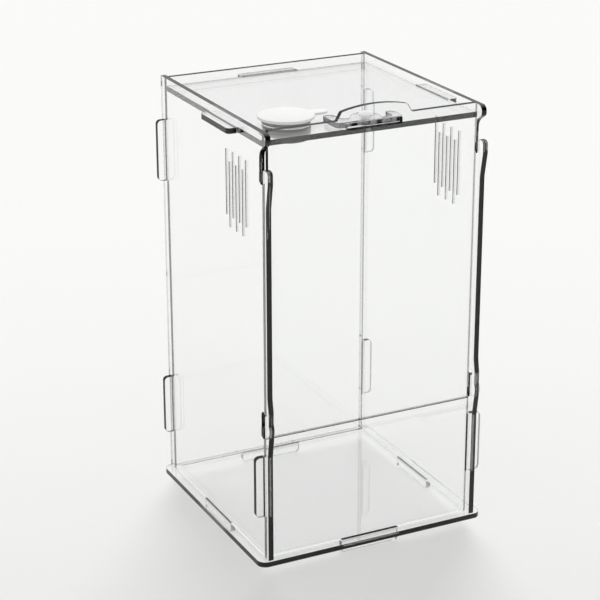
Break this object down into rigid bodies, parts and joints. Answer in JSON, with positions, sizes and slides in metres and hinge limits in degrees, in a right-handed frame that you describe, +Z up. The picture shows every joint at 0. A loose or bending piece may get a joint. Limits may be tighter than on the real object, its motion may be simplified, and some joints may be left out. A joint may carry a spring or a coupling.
{
  "type": "mini terrarium",
  "caption": "Tall clear acrylic terrarium of slotted sheets, with a front door that lifts off hooks, a turn latch, air slits and a feeding port with a plug.",
  "frame": {"origin": "middle of the footprint, at the level of the surface that the four lower tabs stand on", "axes": "+Z up, +Y towards the back wall, so the door faces -Y; +X to the right seen from the door side"},
  "size_m": [0.138, 0.1394, 0.2529],
  "materials": {
    "clear_acrylic": "gloss",
    "white_plastic": "satin"
  },
  "bodies": {
    "case": {"base_plate": "clear_acrylic", "left_wall": "clear_acrylic", "right_wall": "clear_acrylic", "back_wall": "clear_acrylic", "front_sill": "clear_acrylic", "top_plate": "clear_acrylic", "rivet_body": "white_plastic", "rivet_pin": "white_plastic"},
    "door": {"door": "clear_acrylic"},
    "latch": {"latch": "clear_acrylic"},
    "plug": {"feeding_plug": "white_plastic"}
  },
  "joints": [
    {"name": "door_lift", "type": "slide", "parent": "case", "child": "door", "axis": [0, 0, 1], "range_m": [0, 0.0078]},
    {"name": "latch_turn", "type": "hinge", "parent": "case", "child": "latch", "pos_m": [0, -0.0515, 0.2424], "axis": [0, 0, 1], "range_deg": [0, 7]},
    {"name": "plug_lift", "type": "slide", "parent": "case", "child": "plug", "axis": [0, 0, 1], "range_m": [0, 0.02]}
  ]
}
